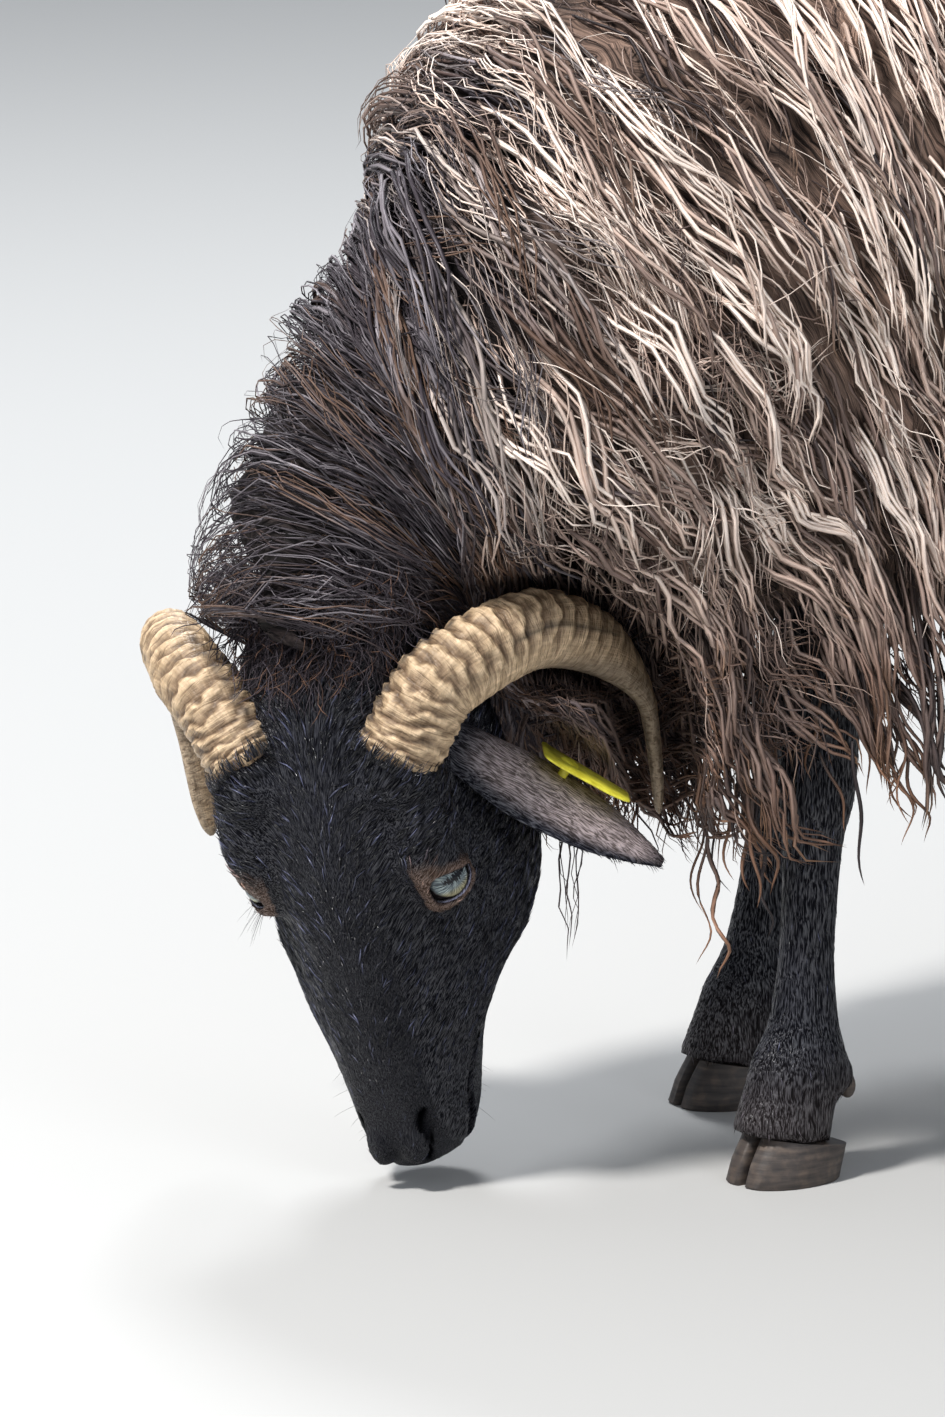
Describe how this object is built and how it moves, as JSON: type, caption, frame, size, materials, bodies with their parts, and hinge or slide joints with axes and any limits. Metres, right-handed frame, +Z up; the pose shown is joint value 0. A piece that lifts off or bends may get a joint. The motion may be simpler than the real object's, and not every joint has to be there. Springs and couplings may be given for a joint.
{
  "type": "grazing horned ewe model",
  "caption": "Life-size still model of a black-faced Manech ewe grazing, with ribbed curling horns, a long lock coat, hanging ears and a blank yellow ear tag",
  "frame": {"origin": "on the floor, under the middle of the whole animal's bounding box", "axes": "+Z up; the ewe faces -Y, its left side is at +X; +Y runs toward the tail along the longest extent"},
  "size_m": [0.4587, 1.0503, 0.6714],
  "materials": {
    "long_coat": "long wavy wool locks, dark brown beneath, straw and cream on top, reddish brown at the fringe",
    "neck_wool": "dark curly wool with a few reddish strands",
    "short_hair": "short glossy black hair over skin",
    "horn": "straw coloured ribbed horn, half matte",
    "hoof": "dark grey brown hoof horn",
    "eye": "wet glossy eye, pale blue-grey iris",
    "tag": "bare flexible yellow plastic"
  },
  "bodies": {
    "root": {"head": "short_hair", "neck": "neck_wool", "torso": "long_coat", "tail": "long_coat", "foreleg_left": "short_hair", "foreleg_right": "short_hair", "hindleg_left": "short_hair", "hindleg_right": "short_hair", "hoof_fore_left_left": "hoof", "hoof_fore_left_right": "hoof", "hoof_fore_right_left": "hoof", "hoof_fore_right_right": "hoof", "hoof_hind_left_left": "hoof", "hoof_hind_left_right": "hoof", "hoof_hind_right_left": "hoof", "hoof_hind_right_right": "hoof", "horn_left": "horn", "horn_right": "horn", "ear_left": "short_hair", "ear_right": "short_hair", "eye_left": "eye", "eye_right": "eye", "ear_tag": "tag"}
  },
  "joints": []
}
